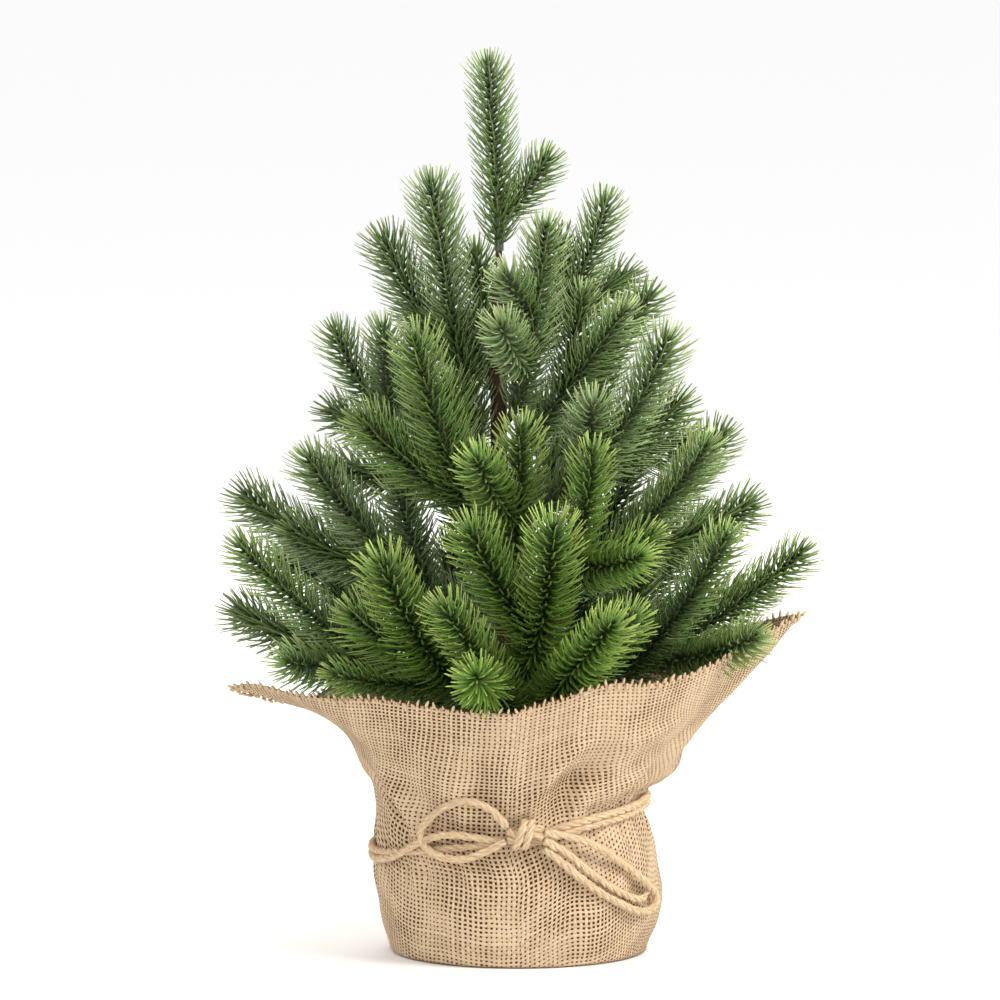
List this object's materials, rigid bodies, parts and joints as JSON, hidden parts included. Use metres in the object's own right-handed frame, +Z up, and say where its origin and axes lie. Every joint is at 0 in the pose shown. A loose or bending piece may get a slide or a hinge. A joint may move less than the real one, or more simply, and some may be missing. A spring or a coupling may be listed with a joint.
{
  "type": "artificial tabletop tree",
  "caption": "Small artificial fir with moulded needle sprigs on bendable wire branches, standing in a jute sack tied with a twine bow.",
  "frame": {"origin": "centre of the sack's flat underside, on the surface that the tree stands on", "axes": "+Z up along the trunk, +X to the tree's right, -Y to its front, where the bow is"},
  "size_m": [0.2916, 0.2751, 0.4471],
  "materials": {
    "needles": "moulded polyethylene needles, satin green with paler tips",
    "stem_tape": "dark brown paper tape wound on wire",
    "core_steel": "plain drawn steel rod",
    "pot": "black moulded nursery pot",
    "weight": "cast plaster",
    "burlap": "open plain-weave natural jute, raw rim",
    "twine": "laid jute twine with loose fibres"
  },
  "bodies": {
    "root": {"sack": "burlap", "pot": "pot", "plaster_weight": "weight", "trunk_core": "core_steel", "trunk_tape": "stem_tape", "twine_waist": "twine", "twine_knot": "twine", "twine_loop_left": "twine", "twine_loop_right": "twine", "twine_tail": "twine"},
    "branch_upper_right_back": {"stem_upper_right_back": "stem_tape", "sprig_upper_right_back": "needles"},
    "branch_upper_left": {"stem_upper_left": "stem_tape", "sprig_upper_left": "needles"},
    "branch_upper_front": {"stem_upper_front": "stem_tape", "sprig_upper_front": "needles"},
    "branch_upper_right": {"stem_upper_right": "stem_tape", "sprig_upper_right": "needles"},
    "branch_mid_right_front": {"stem_mid_right_front": "stem_tape", "sprig_mid_right_front": "needles"},
    "branch_upper_left_back": {"stem_upper_left_back": "stem_tape", "sprig_upper_left_back": "needles"},
    "branch_mid_left_front": {"stem_mid_left_front": "stem_tape", "sprig_mid_left_front": "needles"},
    "branch_mid_front": {"stem_mid_front": "stem_tape", "sprig_mid_front": "needles"},
    "branch_mid_left": {"stem_mid_left": "stem_tape", "sprig_mid_left": "needles"},
    "branch_low_mid_right_front": {"stem_low_mid_right_front": "stem_tape", "sprig_low_mid_right_front": "needles"},
    "branch_mid_right": {"stem_mid_right": "stem_tape", "sprig_mid_right": "needles"},
    "branch_low_front_centre": {"stem_low_front_centre": "stem_tape", "sprig_low_front_centre": "needles"},
    "branch_low_right": {"stem_low_right": "stem_tape", "sprig_low_right": "needles"},
    "branch_low_front_right": {"stem_low_front_right": "stem_tape", "sprig_low_front_right": "needles"},
    "branch_low_front": {"stem_low_front": "stem_tape", "sprig_low_front": "needles"},
    "branch_low_left_front": {"stem_low_left_front": "stem_tape", "sprig_low_left_front": "needles"},
    "branch_low_left": {"stem_low_left": "stem_tape", "sprig_low_left": "needles"},
    "branch_upper_back": {"stem_upper_back": "stem_tape", "sprig_upper_back": "needles"},
    "branch_mid_right_back": {"stem_mid_right_back": "stem_tape", "sprig_mid_right_back": "needles"},
    "branch_mid_left_back": {"stem_mid_left_back": "stem_tape", "sprig_mid_left_back": "needles"},
    "branch_low_right_back": {"stem_low_right_back": "stem_tape", "sprig_low_right_back": "needles"},
    "branch_low_back": {"stem_low_back": "stem_tape", "sprig_low_back": "needles"},
    "branch_low_left_back": {"stem_low_left_back": "stem_tape", "sprig_low_left_back": "needles"},
    "leader": {"stem_leader": "stem_tape", "sprig_leader": "needles"}
  },
  "joints": [
    {"name": "bend_upper_right_back", "type": "hinge", "parent": "root", "child": "branch_upper_right_back", "pos_m": [-0.00292, 0.00237, 0.288], "axis": [0.3635, -0.9316, 0], "range_deg": [-20, 16]},
    {"name": "bend_upper_left", "type": "hinge", "parent": "root", "child": "branch_upper_left", "pos_m": [-0.01489, -0.00314, 0.248], "axis": [-0.4663, 0.8846, 0], "range_deg": [-10, 2]},
    {"name": "bend_upper_front", "type": "hinge", "parent": "root", "child": "branch_upper_front", "pos_m": [-0.00541, -0.00561, 0.262], "axis": [-0.8423, -0.539, 0], "range_deg": [-20, 12]},
    {"name": "bend_upper_right", "type": "hinge", "parent": "root", "child": "branch_upper_right", "pos_m": [-0.00294, -0.00322, 0.244], "axis": [-0.4767, -0.8791, 0], "range_deg": [-8, 8]},
    {"name": "bend_mid_right_front", "type": "hinge", "parent": "root", "child": "branch_mid_right_front", "pos_m": [-0.00214, -0.0034, 0.212], "axis": [-0.4905, -0.8714, 0], "range_deg": [-16, 6]},
    {"name": "bend_upper_left_back", "type": "hinge", "parent": "root", "child": "branch_upper_left_back", "pos_m": [-0.01529, 0.00089, 0.222], "axis": [0.1289, 0.9917, 0], "range_deg": [-20, 14]},
    {"name": "bend_mid_left_front", "type": "hinge", "parent": "root", "child": "branch_mid_left_front", "pos_m": [-0.01114, -0.00607, 0.196], "axis": [-0.8648, 0.5022, 0], "range_deg": [-20, 6]},
    {"name": "bend_mid_front", "type": "hinge", "parent": "root", "child": "branch_mid_front", "pos_m": [-0.00622, -0.00701, 0.186], "axis": [-0.9908, -0.1351, 0], "range_deg": [-14, 20]},
    {"name": "bend_mid_left", "type": "hinge", "parent": "root", "child": "branch_mid_left", "pos_m": [-0.01284, -0.00122, 0.158], "axis": [-0.1687, 0.9857, 0], "range_deg": [-6, 18]},
    {"name": "bend_low_mid_right_front", "type": "hinge", "parent": "root", "child": "branch_low_mid_right_front", "pos_m": [-0.00219, -0.00623, 0.16], "axis": [-0.8629, -0.5055, 0], "range_deg": [-6, 20]},
    {"name": "bend_mid_right", "type": "hinge", "parent": "root", "child": "branch_mid_right", "pos_m": [0.0003, -0.00225, 0.172], "axis": [-0.3143, -0.9493, 0], "range_deg": [-10, 12]},
    {"name": "bend_low_front_centre", "type": "hinge", "parent": "root", "child": "branch_low_front_centre", "pos_m": [-0.00228, -0.00719, 0.13], "axis": [-0.9743, -0.2251, 0], "range_deg": [-16, 16]},
    {"name": "bend_low_right", "type": "hinge", "parent": "root", "child": "branch_low_right", "pos_m": [0.00449, 0, 0.116], "axis": [0, -1, 0], "range_deg": [0, 16]},
    {"name": "bend_low_front_right", "type": "hinge", "parent": "root", "child": "branch_low_front_right", "pos_m": [-0.00025, -0.00716, 0.109], "axis": [-0.9553, -0.2955, 0], "range_deg": [-4, 8]},
    {"name": "bend_low_front", "type": "hinge", "parent": "root", "child": "branch_low_front", "pos_m": [-0.00202, -0.00753, 0.103], "axis": [-1, -0.0002, 0], "range_deg": [0, 20]},
    {"name": "bend_low_left_front", "type": "hinge", "parent": "root", "child": "branch_low_left_front", "pos_m": [-0.00682, -0.00645, 0.118], "axis": [-0.8667, 0.4988, 0], "range_deg": [-2, 18]},
    {"name": "bend_low_left", "type": "hinge", "parent": "root", "child": "branch_low_left", "pos_m": [-0.00975, -0.002, 0.11], "axis": [-0.2668, 0.9637, 0], "range_deg": [-2, 14]},
    {"name": "bend_upper_back", "type": "hinge", "parent": "root", "child": "branch_upper_back", "pos_m": [-0.00996, 0.00655, 0.27], "axis": [0.9894, 0.1455, 0], "range_deg": [-20, 18]},
    {"name": "bend_mid_right_back", "type": "hinge", "parent": "root", "child": "branch_mid_right_back", "pos_m": [-0.00414, 0.00552, 0.216], "axis": [0.7979, -0.6028, 0], "range_deg": [-20, 30]},
    {"name": "bend_mid_left_back", "type": "hinge", "parent": "root", "child": "branch_mid_left_back", "pos_m": [-0.01138, 0.00605, 0.204], "axis": [0.8677, 0.4971, 0], "range_deg": [-20, 16]},
    {"name": "bend_low_right_back", "type": "hinge", "parent": "root", "child": "branch_low_right_back", "pos_m": [0.00123, 0.00495, 0.134], "axis": [0.6726, -0.74, 0], "range_deg": [-4, 18]},
    {"name": "bend_low_back", "type": "hinge", "parent": "root", "child": "branch_low_back", "pos_m": [-0.00327, 0.00742, 0.122], "axis": [0.9999, -0.0158, 0], "range_deg": [-4, 22]},
    {"name": "bend_low_left_back", "type": "hinge", "parent": "root", "child": "branch_low_left_back", "pos_m": [-0.00907, 0.00581, 0.14], "axis": [0.7926, 0.6098, 0], "range_deg": [-16, 10]},
    {"name": "bend_leader", "type": "hinge", "parent": "root", "child": "leader", "pos_m": [-0.009, 0, 0.34093], "axis": [0, 1, 0], "range_deg": [-20, 30]}
  ]
}
